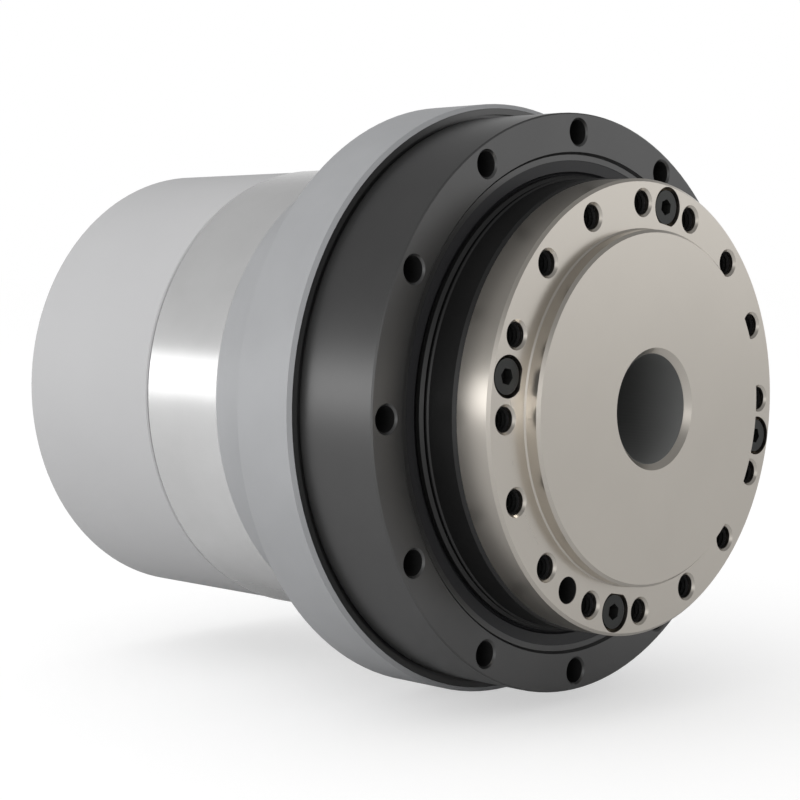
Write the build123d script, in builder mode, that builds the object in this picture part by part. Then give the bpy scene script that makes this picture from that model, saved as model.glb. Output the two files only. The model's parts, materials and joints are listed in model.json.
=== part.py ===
# Hollow-shaft rotary actuator: an output flange and crossed roller bearing, a strain wave gear,
# a frameless motor, a holding brake and two encoders, all round one open bore.
# Millimetres. The rotation axis is X and the output points along +X. X = 0 is the front face of
# the bearing's outer ring, the face that bolts to a robot's frame. +Z is up.
import os
from math import cos, sin, pi, radians, sqrt

from build123d import *

os.makedirs("parts", exist_ok=True)

# Driving sizes: output side
bore_d = 22.7
bore_chamfer = 1.2
boss_height = 3.5
boss_wall = 5.5
output_flange_t = 8.4
output_step = 0.3
output_chamfer = 0.6
output_edge = 4.9
boss_root = 0.3
output_hole_count = 16
output_tap_d = 5.0
hole_chamfer = 0.5
bolt_hole_chamfer = 0.4
edge_chamfer = 0.6
ring_chamfer = 0.3
output_screw_count = 4
output_screw_angle = -11.25
pocket_flat_in = 3.7
dowel_angle = 146.25
dowel_d = 5.5
dowel_depth = 6.5

# Driving sizes: strain wave gear
gear_module = 0.7
flex_teeth = 100
ring_teeth = 102
tooth_depth = 0.5
tooth_gap = 0.2
tooth_width = 8.6
spline_t = 9.6
spline_rim = 11.25
spline_proud = 8.6
spline_chamfer = 0.7
spline_band = 0.8
spline_band_x = -0.05
spline_groove = 0.5
spline_bead = 0.3
flex_wall = 0.45
flex_rim_wall = 0.65
diaphragm_t = 0.5
diaphragm_sink = 0.5
brim_t = 2.0
brim_width = 11.4
brim_sink = 0.1
flex_bend_r = 2.0
wave_width = 7.0
wave_race_t = 2.5
wave_groove_depth = 0.9
wave_ball_d = 5.0
wave_ball_count = 16
plug_screw_count = 6

# Driving sizes: crossed roller bearing
outer_ring_t = 21.5
inner_ring_edge = 3.5
inner_ring_sink = 1.0
land_step = 2.4
roller_d = 5.0
roller_count = 40
roller_depth = 13.0
ring_gap = 0.8
seal_step = 1.95
seal_seat_depth = 6.0
seal_sink = 0.6
seal_mouth = 0.55
lip_step = 1.6
seal_case_t = 1.2
seal_case_foot = 2.7
foot_t = 1.3
foot_step = 1.9
foot_groove = 0.2
foot_groove_depth = 0.9
foot_undercut = 0.8
foot_relief = 0.65
bolt_offset = 7.0
housing_hole_count = 12
housing_hole_d = 5.3
housing_edge = 4.0
clamp_screw_count = 6

# Driving sizes: housings
rim_t = 1.0
rim_chamfer = 0.55
gear_flange_t = 12.7
body_step = 4.8
gear_body_len = 20.2
gear_wall_t = 10.5
housing_wall = 7.2
sleeve_step = 0.7
sleeve_len = 24.0
gasket_t = 0.5
cover_step = 0.25
cover_len = 43.8
cover_wall = 2.1
cover_end_t = 3.0
cover_corner_r = 1.0
post_r = 3.3

# Driving sizes: motor
tube_wall = 1.05
tube_seat = 4.0
shaft_wall = 2.0
shoulder_step = 1.8
shaft_flange_step = 7.0
shaft_flange_t = 4.0
stack_len = 30.0
back_iron = 5.0
slot_depth = 9.5
stator_tooth_count = 12
stator_tooth_w = 7.6
tooth_tip_t = 1.6
slot_opening = 2.6
coil_t = 3.7
coil_overhang = 6.0
air_gap = 0.7
magnet_t = 2.6
magnet_count = 10
magnet_space = 2.6
rotor_hole_d = 5.0
bearing_section = 6.0
bearing_w = 7.0
bearing_ball_d = 4.0
bearing_ball_count = 9
bearing_ring_t = 1.6
bearing_lip = 1.5
shield_t = 3.0
shield_rim_t = 3.0

# Driving sizes: brake, encoders and connectors
brake_disc_t = 3.0
hub_step = 4.0
lining_t = 0.8
lining_width = 9.0
armature_t = 3.0
armature_travel = 0.25
brake_magnet_t = 11.0
brake_pole_t = 4.0
brake_coil_depth = 7.5
brake_bolt_count = 3
brake_bore_step = 7.5
spacer_r = 2.7
spring_width = 1.9
encoder_disc_t = 1.0
encoder_hub_t = 2.4
encoder_hub_wall = 3.0
board_t = 1.6
standoff_len = 4.6
connector_pitch = 28.0
connector_d = 17.0
connector_len = 15.0
connector_flange = 21.0
connector_flange_t = 2.5
connector_wall = 1.4

# Named clearances and fits
running = 0.05
slide_fit = 0.1
tiny_gap = 0.3
free_gap = 0.6
wide_gap = 1.0

# Screws: diameter, head, head height, hexagon across flats, clearance hole, thread's core
M3 = dict(d=3.0, head=5.5, high=3.0, af=2.5, clear=3.4, tap=2.5, grip=8.0)
M4 = dict(d=4.0, head=7.0, high=4.0, af=3.0, clear=4.5, tap=3.3, grip=7.0)
head_sink = 0.4
head_clear = 0.35

# Stations along the axis, from the output to the rear
x_spline_front = spline_proud
x_output_face = x_spline_front + output_flange_t
x_boss = x_output_face + boss_height
x_tube_seat = x_spline_front + tube_seat
x_inner_front = x_spline_front - spline_t
x_ring_rear = -outer_ring_t
x_foot = x_ring_rear + foot_t
x_inner_rear = x_ring_rear + inner_ring_sink
x_flex_rear = x_ring_rear - brim_t
x_flange_rear = x_flex_rear - gear_flange_t
x_body_rear = x_flange_rear - gear_body_len
x_sleeve_rear = x_body_rear - sleeve_len
x_cover_front = x_sleeve_rear - gasket_t
x_cover_rear = x_cover_front - cover_len
x_wall_front = x_flex_rear - 2.5 * wide_gap
x_wall_rear = x_wall_front - gear_wall_t
x_teeth_front = x_spline_front - free_gap - slide_fit
wave_x1 = x_teeth_front - tiny_gap
wave_x0 = wave_x1 - wave_width
shaft_flange_x = wave_x0 - free_gap
stack_x0 = x_sleeve_rear + free_gap
stack_x1 = stack_x0 + stack_len
winding_rear = stack_x0 - coil_overhang
shield_rear = winding_rear - wide_gap - shield_t
front_bearing_x0 = x_wall_rear + free_gap
front_bearing_x1 = front_bearing_x0 + bearing_w
seal_pocket_x = front_bearing_x1 + free_gap
rear_bearing_x0 = shield_rear + wide_gap
rear_bearing_x1 = rear_bearing_x0 + bearing_w
disc_x1 = shield_rear - free_gap
disc_x0 = disc_x1 - brake_disc_t
armature_x1 = disc_x0 - tiny_gap
armature_x0 = armature_x1 - armature_t
brake_face = armature_x0 - armature_travel - running
brake_rear = brake_face - brake_magnet_t
motor_disc_x1 = brake_rear - free_gap
motor_disc_x0 = motor_disc_x1 - encoder_hub_t
shaft_rear = motor_disc_x0
board_x1 = brake_rear - standoff_len
board_x0 = board_x1 - board_t
output_disc_x1 = board_x0 - 1.6 * wide_gap
output_disc_x0 = output_disc_x1 - encoder_hub_t

# Radii, from the gear outwards
ring_pitch_r = gear_module * ring_teeth / 2
flex_tip_r = ring_pitch_r - gear_module / 2 - tooth_gap / 2
flex_root_r = flex_tip_r - tooth_depth
flex_bore_r = flex_root_r - flex_rim_wall
flex_tube_r = flex_bore_r + flex_wall
spline_tip_r = flex_tip_r + tooth_gap
spline_root_r = spline_tip_r + tooth_depth
spline_r = spline_root_r + spline_rim
output_flange_r = spline_r - output_step
output_pcd = 2 * (output_flange_r - output_edge)
boss_r = output_pcd / 2 - boss_wall
inner_ring_bore_r = output_pcd / 2 - inner_ring_edge
inner_ring_r = spline_r + land_step
roller_pitch_r = inner_ring_r + ring_gap / 2
outer_bore_r = inner_ring_r + ring_gap
seal_r = outer_bore_r + seal_step
housing_pcd = 2 * (roller_pitch_r + bolt_offset)
outer_ring_r = housing_pcd / 2 + housing_edge
foot_r = outer_ring_r + foot_step
brim_r = foot_r - brim_sink
brim_in_r = brim_r - brim_width
gear_flange_r = foot_r + rim_t
gear_body_r = housing_pcd / 2 - body_step

# Radii of the motor's housings, from the gear housing inwards
stator_r = gear_body_r - housing_wall
sleeve_r = gear_body_r - sleeve_step
cover_r = sleeve_r - cover_step
cover_inner_r = cover_r - cover_wall
slot_top_r = stator_r - back_iron
stator_bore_r = slot_top_r - slot_depth
magnet_r = stator_bore_r - air_gap
rotor_r = magnet_r - magnet_t
bell_r = stator_r - 2 * wide_gap
sleeve_screw_pcd = 2 * (stator_r + M3["d"] + head_sink)
cover_screw_pcd = 2 * (stator_r + 2.4)
brake_r = cover_screw_pcd / 2 - post_r - 1.1 * wide_gap
brake_bolt_pcd = 2 * (brake_r - 2.5)
brake_disc_r = brake_bolt_pcd / 2 - spacer_r - 1.8 * wide_gap
encoder_disc_r = brake_disc_r - 6.0
board_r = brake_r + 0.5

# Radii round the bore, from the bore outwards
bore_r = bore_d / 2
tube_r = bore_r + tube_wall
shaft_bore_r = tube_r + free_gap
shaft_r = shaft_bore_r + shaft_wall
shoulder_r = shaft_r + shoulder_step
shaft_flange_r = shaft_r + shaft_flange_step
plug_screw_pcd = shaft_r + shaft_flange_r - wide_gap
bearing_r = shaft_r + bearing_section
bearing_mid_r = (shaft_r + bearing_r) / 2
brake_bore_r = shaft_r + brake_bore_step
hub_half_af = shaft_r + hub_step


def facing(x):
    """A plane across the axis that looks along +X, its angles counted from +Z towards -Y."""
    return Plane(origin=(x, 0, 0), x_dir=(0, 0, 1), z_dir=(1, 0, 0))


def turned(*profile):
    """Spins a closed profile of (x, radius) corners about the axis."""
    with BuildSketch(Plane.XZ) as section:
        with BuildLine():
            Polyline(*profile, close=True)
        make_face()
    revolve(section.sketch, axis=Axis.X)


def sleeve(x0, x1, r0, r1, mode=Mode.ADD):
    """A plain ring between two stations and two radii."""
    with BuildSketch(Plane.XZ) as section:
        with Locations(((x0 + x1) / 2, (r0 + r1) / 2)):
            Rectangle(abs(x1 - x0), r1 - r0)
    revolve(section.sketch, axis=Axis.X, mode=mode)


def drilled(x, depth, pcd, count, angle, diameter, chamfer_by=0.0):
    """Bores round holes on a pitch circle from station x towards the rear."""
    with BuildSketch(facing(x)) as holes:
        with PolarLocations(pcd / 2, count, start_angle=angle):
            Circle(diameter / 2)
    extrude(holes.sketch, amount=-depth, mode=Mode.SUBTRACT)
    if chamfer_by:
        with Locations(facing(x)):
            with PolarLocations(pcd / 2, count, start_angle=angle):
                with Locations((0, 0, -chamfer_by / 2)):
                    Cone(diameter / 2, diameter / 2 + chamfer_by, chamfer_by, mode=Mode.SUBTRACT)


def cap_screws(screw, x_seat, length, pcd, count, angle, towards=-1):
    """Socket-head cap screws on a pitch circle; the shank runs from x_seat along towards."""
    plane = Plane(origin=(x_seat, 0, 0), x_dir=(0, 0, 1), z_dir=(-towards, 0, 0))
    turn = angle if towards < 0 else -angle
    with BuildSketch(plane) as heads:
        with PolarLocations(pcd / 2, count, start_angle=turn):
            Circle(screw["head"] / 2)
    extrude(heads.sketch, amount=screw["high"])
    with BuildSketch(plane) as shanks:
        with PolarLocations(pcd / 2, count, start_angle=turn):
            Circle(screw["tap"] / 2)
    extrude(shanks.sketch, amount=-length)
    with BuildSketch(plane.offset(screw["high"])) as sockets:
        with PolarLocations(pcd / 2, count, start_angle=turn):
            RegularPolygon(screw["af"] / 2, 6, major_radius=False)
    extrude(sockets.sketch, amount=-screw["high"] * 0.55, mode=Mode.SUBTRACT)


def on_pitch(pcd, angle):
    """The (y, z) place at an angle on a pitch circle."""
    return -pcd / 2 * sin(radians(angle)), pcd / 2 * cos(radians(angle))


# Output flange: boss, bore, tapped bolt circle, four D-shaped screw pockets, one dowel hole
pocket_r = M4["head"] / 2 + 2 * head_clear
pocket_depth = M4["high"] + head_sink
with BuildPart() as output_flange:
    turned(
        (x_boss - edge_chamfer, boss_r), (x_boss, boss_r - edge_chamfer),
        (x_boss, bore_r + bore_chamfer), (x_boss - bore_chamfer, bore_r),
        (x_tube_seat, bore_r), (x_tube_seat, tube_r), (x_spline_front, tube_r),
        (x_spline_front, output_flange_r - 0.3), (x_spline_front + 0.3, output_flange_r),
        (x_output_face - output_chamfer, output_flange_r),
        (x_output_face, output_flange_r - output_chamfer), (x_output_face, boss_r + boss_root),
        (x_output_face + boss_root, boss_r),
    )
    drilled(x_output_face, output_flange_t, output_pcd, output_hole_count, 0,
            output_tap_d, hole_chamfer)
    drilled(x_output_face, dowel_depth, output_pcd, 1, dowel_angle, dowel_d)
    drilled(x_output_face, output_flange_t, output_pcd, output_screw_count, output_screw_angle,
            M4["clear"])
    with BuildSketch(facing(x_output_face)) as pockets:
        with PolarLocations(output_pcd / 2, output_screw_count, start_angle=output_screw_angle):
            Circle(pocket_r)
            with Locations((-pocket_flat_in - pocket_r / 2, 0)):
                Rectangle(pocket_r, 2 * pocket_r, mode=Mode.SUBTRACT)
    extrude(pockets.sketch, amount=-pocket_depth, mode=Mode.SUBTRACT)
output_flange.part.label = "output_flange"

output_screw_grip = 2 * M4["grip"] - pocket_depth
with BuildPart() as output_screws:
    cap_screws(M4, x_output_face - pocket_depth,
               output_flange_t - pocket_depth + spline_t + output_screw_grip,
               output_pcd, output_screw_count, output_screw_angle)
output_screws.part.label = "output_screws"

# Circular spline: the internal gear, seen as the black ring under the flange
spline_screw_steps = (360 / output_hole_count, 720 / output_hole_count)
spline_screw_grip = min(M4["grip"], spline_t - wide_gap)
with BuildPart() as circular_spline:
    band_end = spline_band_x + free_gap
    bead_x = band_end + free_gap
    spline_core_r = spline_root_r + wide_gap
    turned(
        (x_inner_front, spline_core_r), (x_inner_front, spline_r + spline_band),
        (spline_band_x, spline_r + spline_band), (band_end, spline_r + spline_band - free_gap),
        (band_end, spline_r - spline_groove), (bead_x, spline_r - spline_groove),
        (bead_x, spline_r + spline_bead), (bead_x + spline_bead, spline_r + spline_bead),
        (bead_x + 2 * spline_bead, spline_r), (x_spline_front - spline_chamfer, spline_r),
        (x_spline_front, spline_r - spline_chamfer), (x_spline_front, spline_core_r),
    )
    with BuildSketch(facing(x_inner_front)) as blank:
        Circle(spline_core_r + wide_gap)
        with BuildLine():
            corners = []
            for i in range(ring_teeth):
                a = 2 * pi * i / ring_teeth
                b = a + pi / ring_teeth
                corners.append((spline_tip_r * cos(a), spline_tip_r * sin(a)))
                corners.append((spline_root_r * cos(b), spline_root_r * sin(b)))
            Polyline(*corners, close=True)
        make_face(mode=Mode.SUBTRACT)
    extrude(blank.sketch, amount=spline_t)
    drilled(x_spline_front, spline_t, output_pcd, output_screw_count, output_screw_angle, M4["clear"])
    for step in spline_screw_steps:
        drilled(x_inner_front + spline_screw_grip, spline_t, output_pcd, output_screw_count,
                output_screw_angle + step, M4["tap"])
circular_spline.part.label = "circular_spline"

# Crossed roller bearing: two rings with square raceways, rollers turned alternately
groove_half = (roller_d / 2 + running) * sqrt(2)
collar_r = spline_r
collar_rear = x_inner_front - seal_seat_depth + wide_gap
with BuildPart() as bearing_inner_ring:
    sleeve(x_inner_rear, collar_rear, inner_ring_bore_r, inner_ring_r)
    sleeve(collar_rear, x_inner_front, inner_ring_bore_r, collar_r)
    with BuildSketch(Plane.XZ) as race:
        with Locations((-roller_depth, roller_pitch_r)):
            Rectangle(groove_half * sqrt(2), groove_half * sqrt(2), rotation=45)
    revolve(race.sketch, axis=Axis.X, mode=Mode.SUBTRACT)
    drilled(x_inner_front, output_screw_grip + wide_gap, output_pcd, output_screw_count,
            output_screw_angle, M4["tap"])
    for step in spline_screw_steps:
        drilled(x_inner_front, x_inner_front - x_inner_rear, output_pcd, output_screw_count,
                output_screw_angle + step, M4["clear"])
        drilled(x_inner_rear + M4["high"] + head_sink, M4["high"] + head_sink, output_pcd,
                output_screw_count, output_screw_angle + step, M4["head"] + 2 * head_clear)
bearing_inner_ring.part.label = "bearing_inner_ring"

with BuildPart() as spline_screws:
    for step in spline_screw_steps:
        cap_screws(M4, x_inner_rear + M4["high"] + head_sink,
                   x_inner_front - x_inner_rear - M4["high"] - head_sink + spline_screw_grip,
                   output_pcd, output_screw_count, output_screw_angle + step, towards=1)
spline_screws.part.label = "spline_screws"

with BuildPart() as bearing_outer_ring:
    turned(
        (0, seal_r + seal_mouth), (0, outer_ring_r - ring_chamfer),
        (-ring_chamfer, outer_ring_r), (x_foot + foot_groove, outer_ring_r),
        (x_foot + foot_groove, outer_ring_r - foot_undercut),
        (x_foot - foot_groove_depth, outer_ring_r - foot_undercut),
        (x_foot - foot_groove_depth, outer_ring_r + foot_relief),
        (x_foot, outer_ring_r + foot_relief), (x_foot, foot_r), (x_ring_rear, foot_r),
        (x_ring_rear, outer_bore_r), (-seal_seat_depth, outer_bore_r),
        (-seal_seat_depth, seal_r), (-seal_mouth, seal_r),
    )
    with BuildSketch(Plane.XZ) as race:
        with Locations((-roller_depth, roller_pitch_r)):
            Rectangle(groove_half * sqrt(2), groove_half * sqrt(2), rotation=45)
    revolve(race.sketch, axis=Axis.X, mode=Mode.SUBTRACT)
    drilled(0, outer_ring_t, housing_pcd, housing_hole_count, 0, housing_hole_d,
            bolt_hole_chamfer)
    drilled(x_ring_rear + M3["grip"] + wide_gap, M3["grip"] + wide_gap, housing_pcd,
            clamp_screw_count, 180 / housing_hole_count, M3["tap"])
bearing_outer_ring.part.label = "bearing_outer_ring"

with BuildPart() as crossed_rollers:
    for i in range(roller_count):
        lean = 45 if i % 2 else -45
        with Locations(Plane.YZ.rotated((360 * i / roller_count, 0, 0))):
            with Locations(Location((0, roller_pitch_r, -roller_depth), (lean, 0, 0))):
                Cylinder(roller_d / 2, roller_d - 0.2)
crossed_rollers.part.label = "crossed_rollers"

# Output seal: a steel case pressed into the outer ring, a rubber lip on the inner ring's collar
with BuildPart() as seal_case:
    turned(
        (-seal_sink, seal_r - seal_case_t), (-seal_sink, seal_r), (-seal_seat_depth, seal_r),
        (-seal_seat_depth, seal_r - seal_case_foot), (-seal_seat_depth + 1.0, seal_r - seal_case_foot),
        (-seal_seat_depth + 1.0, seal_r - seal_case_t),
    )
seal_case.part.label = "seal_case"

with BuildPart() as output_seal:
    turned(
        (-seal_sink - 0.1, seal_r - seal_case_t), (-seal_sink - 0.1, collar_r + lip_step),
        (-seal_sink - 0.6, collar_r + lip_step - 0.4), (-seal_sink - 1.1, collar_r + running),
        (-seal_sink - 1.5, collar_r + running), (-seal_sink - 2.1, collar_r + 1.4),
        (-seal_sink - 2.1, seal_r - seal_case_t),
    )
output_seal.part.label = "output_seal"

# Flexspline: a thin hat whose toothed rim sits in the circular spline; its brim is clamped
x_diaphragm = x_flex_rear + diaphragm_sink
with BuildPart() as flexspline:
    with BuildSketch(Plane.XZ) as hat:
        with BuildLine():
            Polyline(
                (x_teeth_front, flex_bore_r), (x_teeth_front, flex_root_r),
                (x_teeth_front - tooth_width, flex_root_r),
                (x_teeth_front - tooth_width - 1.5, flex_tube_r),
                (x_diaphragm + diaphragm_t + flex_bend_r, flex_tube_r),
                (x_diaphragm + diaphragm_t, flex_tube_r + flex_bend_r),
                (x_diaphragm + diaphragm_t, brim_in_r),
                (x_ring_rear, brim_in_r), (x_ring_rear, brim_r),
                (x_flex_rear, brim_r), (x_flex_rear, brim_in_r - wide_gap),
                (x_diaphragm, brim_in_r - 2.5 * wide_gap),
                (x_diaphragm, flex_tube_r + flex_bend_r),
                (x_diaphragm + flex_bend_r + 0.4, flex_bore_r), close=True,
            )
        make_face()
    revolve(hat.sketch, axis=Axis.X)
    with BuildSketch(facing(x_teeth_front)) as teeth:
        with BuildLine():
            corners = []
            for i in range(flex_teeth):
                a = 2 * pi * i / flex_teeth
                b = a + pi / flex_teeth
                corners.append((flex_tip_r * cos(a), flex_tip_r * sin(a)))
                corners.append((flex_root_r * cos(b), flex_root_r * sin(b)))
            Polyline(*corners, close=True)
        make_face()
        Circle((flex_bore_r + flex_root_r) / 2, mode=Mode.SUBTRACT)
    extrude(teeth.sketch, amount=-tooth_width)
    drilled(x_ring_rear, brim_t, housing_pcd, housing_hole_count, 0, housing_hole_d)
    drilled(x_ring_rear, brim_t, housing_pcd, clamp_screw_count,
            180 / housing_hole_count, M3["clear"])
flexspline.part.label = "flexspline"

# Wave generator: plug on the motor shaft, thin ball bearing between plug and flexspline
wave_mid = (wave_x0 + wave_x1) / 2
wave_outer_r = flex_bore_r
wave_ball_r = wave_outer_r - wave_race_t - wave_ball_d / 2 + wave_groove_depth
wave_groove_r = wave_ball_d / 2 + running
plug_r = wave_ball_r - wave_ball_d / 2 - wave_race_t + wave_groove_depth
with BuildPart() as wave_outer_race:
    sleeve(wave_x0, wave_x1, wave_outer_r - wave_race_t, wave_outer_r)
    with BuildSketch(Plane.XZ) as groove:
        with Locations((wave_mid, wave_ball_r)):
            Circle(wave_groove_r)
    revolve(groove.sketch, axis=Axis.X, mode=Mode.SUBTRACT)
wave_outer_race.part.label = "wave_outer_race"

with BuildPart() as wave_inner_race:
    sleeve(wave_x0, wave_x1, plug_r, plug_r + wave_race_t)
    with BuildSketch(Plane.XZ) as groove:
        with Locations((wave_mid, wave_ball_r)):
            Circle(wave_groove_r)
    revolve(groove.sketch, axis=Axis.X, mode=Mode.SUBTRACT)
wave_inner_race.part.label = "wave_inner_race"

with BuildPart() as wave_balls:
    with Locations(facing(wave_mid)):
        with PolarLocations(wave_ball_r, wave_ball_count):
            Sphere(wave_ball_d / 2)
wave_balls.part.label = "wave_balls"

with BuildPart() as wave_plug:
    sleeve(shaft_flange_x, wave_x1, shaft_r, plug_r)
    chamfer(wave_plug.edges().filter_by(GeomType.CIRCLE).group_by(Axis.X)[-1], 0.4)
    drilled(wave_x1, M3["high"] + head_sink, plug_screw_pcd, plug_screw_count, 0,
            M3["head"] + 2 * head_clear)
    drilled(wave_x1, wave_x1 - shaft_flange_x, plug_screw_pcd, plug_screw_count, 0, M3["clear"])
wave_plug.part.label = "wave_plug"

with BuildPart() as plug_screws:
    cap_screws(M3, wave_x1 - M3["high"] - head_sink,
               wave_x1 - M3["high"] - head_sink - shaft_flange_x + shaft_flange_t - free_gap,
               plug_screw_pcd, plug_screw_count, 0)
plug_screws.part.label = "plug_screws"

# Motor shaft: a tube round the hollow tube, with a flange for the wave generator's plug
with BuildPart() as motor_shaft:
    turned(
        (wave_x1 - tiny_gap, shaft_bore_r), (wave_x1 - tiny_gap, shaft_r), (shaft_flange_x, shaft_r),
        (shaft_flange_x, shaft_flange_r), (shaft_flange_x - shaft_flange_t, shaft_flange_r),
        (shaft_flange_x - shaft_flange_t, shoulder_r),
        (front_bearing_x1, shoulder_r), (front_bearing_x1, shaft_r),
        (shaft_rear, shaft_r), (shaft_rear, shaft_bore_r),
    )
    drilled(shaft_flange_x, shaft_flange_t, plug_screw_pcd, plug_screw_count, 0, M3["tap"])
motor_shaft.part.label = "motor_shaft"

with BuildPart() as hollow_tube:
    sleeve(x_cover_rear + free_gap, x_tube_seat, bore_r, tube_r)
hollow_tube.part.label = "hollow_tube"

# Gear housing: the grey bolting flange, the body behind it and the bearing wall inside
with BuildPart() as gear_housing:
    turned(
        (x_flex_rear, brim_in_r - wide_gap), (x_flex_rear, foot_r + running),
        (x_foot, foot_r + running), (x_foot - rim_chamfer, gear_flange_r),
        (x_flange_rear + 0.8, gear_flange_r),
        (x_flange_rear, gear_flange_r - 0.8), (x_flange_rear, gear_body_r),
        (x_body_rear + 0.5, gear_body_r), (x_body_rear, gear_body_r - 0.5),
        (x_body_rear, stator_r), (stack_x1, stator_r), (stack_x1, bell_r),
        (x_wall_rear, bell_r), (x_wall_rear, bearing_r), (front_bearing_x1, bearing_r),
        (front_bearing_x1, bearing_r - bearing_lip), (seal_pocket_x, bearing_r - bearing_lip),
        (seal_pocket_x, bearing_r), (x_wall_front, bearing_r),
        (x_wall_front, brim_in_r - 3 * wide_gap),
    )
    drilled(x_flex_rear, gear_flange_t, housing_pcd, housing_hole_count, 0, housing_hole_d)
    drilled(x_flex_rear, gear_flange_t, housing_pcd, clamp_screw_count,
            180 / housing_hole_count, M3["clear"])
    drilled(x_flange_rear + M3["high"] + head_sink, M3["high"] + head_sink, housing_pcd,
            clamp_screw_count, 180 / housing_hole_count, M3["head"] + 2 * head_clear)
    drilled(x_body_rear + M3["grip"] + wide_gap, M3["grip"] + wide_gap, sleeve_screw_pcd, 4, 45,
            M3["tap"])
gear_housing.part.label = "gear_housing"

with BuildPart() as clamp_screws:
    cap_screws(M3, x_flange_rear + M3["high"] + head_sink,
               gear_flange_t + brim_t + M3["grip"] - M3["high"] - head_sink, housing_pcd,
               clamp_screw_count, 180 / housing_hole_count, towards=1)
clamp_screws.part.label = "clamp_screws"

with BuildPart() as shaft_seal:
    turned(
        (x_wall_front - 0.2, bearing_r), (x_wall_front - 0.2, shoulder_r + 1.0),
        (x_wall_front - 0.9, shoulder_r + running),
        (x_wall_front - 1.2, shoulder_r + running),
        (x_wall_front - 1.8, shoulder_r + 1.6), (seal_pocket_x, bearing_r - 1.0),
        (seal_pocket_x, bearing_r),
    )
shaft_seal.part.label = "shaft_seal"

bearing_mids = [(front_bearing_x0 + front_bearing_x1) / 2, (rear_bearing_x0 + rear_bearing_x1) / 2]
with BuildPart() as bearing_inner_races:
    for x in bearing_mids:
        sleeve(x - bearing_w / 2, x + bearing_w / 2, shaft_r, shaft_r + bearing_ring_t)
        with BuildSketch(Plane.XZ) as groove:
            with Locations((x, bearing_mid_r)):
                Circle(bearing_ball_d / 2 + running)
        revolve(groove.sketch, axis=Axis.X, mode=Mode.SUBTRACT)
bearing_inner_races.part.label = "bearing_inner_races"

with BuildPart() as bearing_outer_races:
    for x in bearing_mids:
        sleeve(x - bearing_w / 2, x + bearing_w / 2, bearing_r - bearing_ring_t, bearing_r)
        with BuildSketch(Plane.XZ) as groove:
            with Locations((x, bearing_mid_r)):
                Circle(bearing_ball_d / 2 + running)
        revolve(groove.sketch, axis=Axis.X, mode=Mode.SUBTRACT)
bearing_outer_races.part.label = "bearing_outer_races"

with BuildPart() as bearing_balls:
    for x in bearing_mids:
        with Locations(facing(x)):
            with PolarLocations(bearing_mid_r, bearing_ball_count):
                Sphere(bearing_ball_d / 2)
bearing_balls.part.label = "bearing_balls"

# Stator: sleeve, laminated core with twelve teeth, one coil on each tooth
with BuildPart() as stator_sleeve:
    turned(
        (x_body_rear, stator_r), (x_body_rear, sleeve_r - 0.5),
        (x_body_rear - 0.5, sleeve_r), (x_sleeve_rear + 0.5, sleeve_r),
        (x_sleeve_rear, sleeve_r - 0.5), (x_sleeve_rear, stator_r),
    )
    drilled(x_body_rear, sleeve_len, sleeve_screw_pcd, 4, 45, M3["clear"])
    drilled(x_sleeve_rear + M3["high"] + 0.2, M3["high"] + 0.2, sleeve_screw_pcd, 4, 45,
            M3["head"] + head_clear)
    drilled(x_sleeve_rear + M3["grip"], M3["grip"], cover_screw_pcd, 4, 0, M3["tap"])
stator_sleeve.part.label = "stator_sleeve"

with BuildPart() as sleeve_screws:
    cap_screws(M3, x_sleeve_rear + M3["high"] + 0.2, sleeve_len - M3["high"] - 0.2 + M3["grip"],
               sleeve_screw_pcd, 4, 45, towards=1)
sleeve_screws.part.label = "sleeve_screws"

with BuildPart() as stator_core:
    with BuildSketch(facing(stack_x0)) as lamination:
        Circle(stator_r)
        Circle(slot_top_r, mode=Mode.SUBTRACT)
        with PolarLocations((stator_bore_r + slot_top_r) / 2, stator_tooth_count):
            Rectangle(slot_top_r - stator_bore_r + 2.0, stator_tooth_w)
        with PolarLocations(stator_bore_r + tooth_tip_t / 2, stator_tooth_count):
            Rectangle(tooth_tip_t, 2 * pi * stator_bore_r / stator_tooth_count - slot_opening)
        Circle(stator_bore_r, mode=Mode.SUBTRACT)
    extrude(lamination.sketch, amount=stack_len)
stator_core.part.label = "stator_core"

coil_r0 = stator_bore_r + tooth_tip_t + 0.2
coil_half = stator_tooth_w / 2 + coil_t
coil_r1 = sqrt(slot_top_r ** 2 - coil_half ** 2) - 0.2
with BuildPart() as stator_coils:
    coil_mid = Plane(origin=((stack_x0 + stack_x1) / 2, 0, 0), x_dir=(0, 0, 1), z_dir=(1, 0, 0))
    for i in range(stator_tooth_count):
        seat = Plane(
            origin=(coil_mid.origin.X, -coil_r0 * sin(2 * pi * i / stator_tooth_count),
                    coil_r0 * cos(2 * pi * i / stator_tooth_count)),
            x_dir=(1, 0, 0),
            z_dir=(0, -sin(2 * pi * i / stator_tooth_count), cos(2 * pi * i / stator_tooth_count)),
        )
        with BuildSketch(seat) as turn:
            RectangleRounded(stack_len + 2 * coil_overhang, 2 * coil_half, 3.0)
            Rectangle(stack_len + 0.6, stator_tooth_w + 0.2, mode=Mode.SUBTRACT)
        extrude(turn.sketch, amount=coil_r1 - coil_r0)
stator_coils.part.label = "stator_coils"

# Rotor: hub on the shaft, ten magnets round it
with BuildPart() as rotor_core:
    sleeve(stack_x0 + 0.5, stack_x1 - 0.5, shaft_r, rotor_r)
    drilled(stack_x1 - 0.5, stack_len, shaft_r + rotor_r, magnet_count, 18, rotor_hole_d)
rotor_core.part.label = "rotor_core"

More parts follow.
